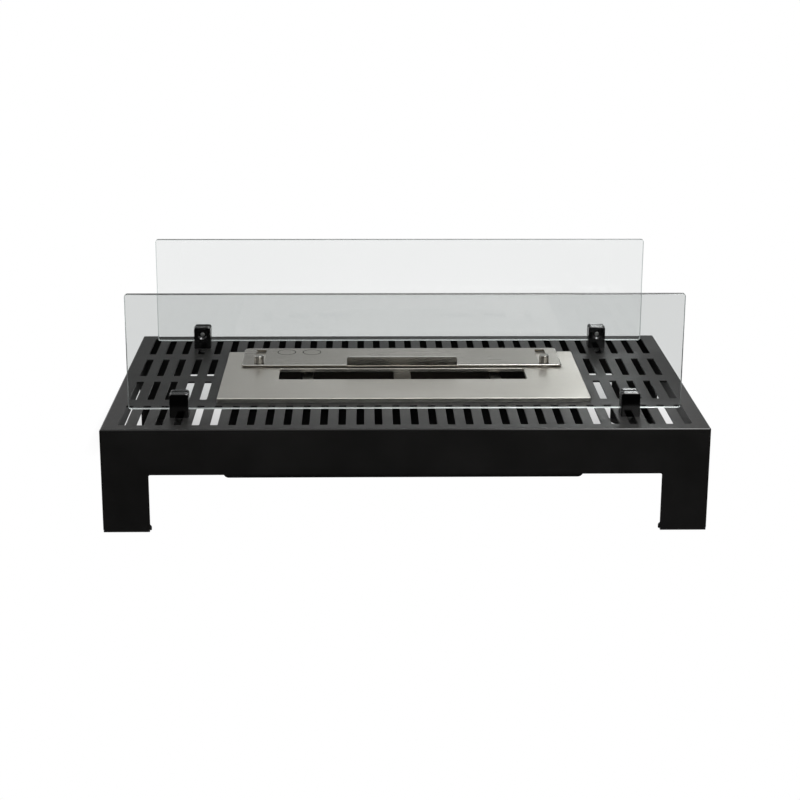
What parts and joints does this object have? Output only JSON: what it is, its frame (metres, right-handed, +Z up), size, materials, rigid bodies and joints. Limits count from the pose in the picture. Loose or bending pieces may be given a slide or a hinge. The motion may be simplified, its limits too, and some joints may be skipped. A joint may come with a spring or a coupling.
{
  "type": "tabletop bioethanol fireplace",
  "caption": "Slotted black steel table on corner legs with a drop-in stainless ethanol burner, a sliding regulator lid and clamped glass screens.",
  "frame": {"origin": "on the floor under the middle of the table", "axes": "+X along the table's length to the right, +Y from the front towards the back, +Z up"},
  "size_m": [0.6, 0.34, 0.2325],
  "materials": {
    "powder_black": "satin powder coat",
    "cradle_black": "matt heat-resistant paint",
    "stainless": "fine brushed along the length",
    "clear_glass": "clear toughened, ground edges",
    "black_chrome": "black chrome",
    "zinc_steel": "bright zinc",
    "pad_rubber": "matt",
    "liner_rubber": "matt silicone",
    "wool_white": "fibrous"
  },
  "bodies": {
    "table": {"table_top": "powder_black", "front_panel": "powder_black", "back_panel": "powder_black", "left_panel": "powder_black", "right_panel": "powder_black", "foot_plate_front_left": "powder_black", "foot_pad_front_left": "pad_rubber", "glass_clamp_front_left": "black_chrome", "clamp_liner_front_left": "liner_rubber", "clamp_screw_front_left": "zinc_steel", "clamp_washer_front_left": "zinc_steel", "clamp_bolt_front_left": "zinc_steel", "foot_plate_front_right": "powder_black", "foot_pad_front_right": "pad_rubber", "glass_clamp_front_right": "black_chrome", "clamp_liner_front_right": "liner_rubber", "clamp_screw_front_right": "zinc_steel", "clamp_washer_front_right": "zinc_steel", "clamp_bolt_front_right": "zinc_steel", "foot_plate_back_left": "powder_black", "foot_pad_back_left": "pad_rubber", "glass_clamp_back_left": "black_chrome", "clamp_liner_back_left": "liner_rubber", "clamp_screw_back_left": "zinc_steel", "clamp_washer_back_left": "zinc_steel", "clamp_bolt_back_left": "zinc_steel", "foot_plate_back_right": "powder_black", "foot_pad_back_right": "pad_rubber", "glass_clamp_back_right": "black_chrome", "clamp_liner_back_right": "liner_rubber", "clamp_screw_back_right": "zinc_steel", "clamp_washer_back_right": "zinc_steel", "clamp_bolt_back_right": "zinc_steel", "burner_cradle": "cradle_black", "cradle_studs": "zinc_steel", "cradle_nuts": "zinc_steel", "front_glass": "clear_glass", "back_glass": "clear_glass"},
    "burner": {"burner_plate": "stainless", "burner_tank": "stainless", "mouth_bridge": "stainless", "wool_bar_left": "stainless", "wool_bar_right": "stainless", "ceramic_wool": "wool_white", "guide_stud_left": "stainless", "guide_stud_right": "stainless", "guide_spacer_left": "stainless", "guide_spacer_right": "stainless", "guide_nuts": "zinc_steel"},
    "lid": {"regulator_lid": "stainless"}
  },
  "joints": [
    {"name": "burner_lift", "type": "slide", "parent": "table", "child": "burner", "axis": [0, 0, 1], "range_m": [0, 0.1]},
    {"name": "lid_slide", "type": "slide", "parent": "burner", "child": "lid", "axis": [0, -1, 0], "range_m": [0, 0.045]}
  ]
}
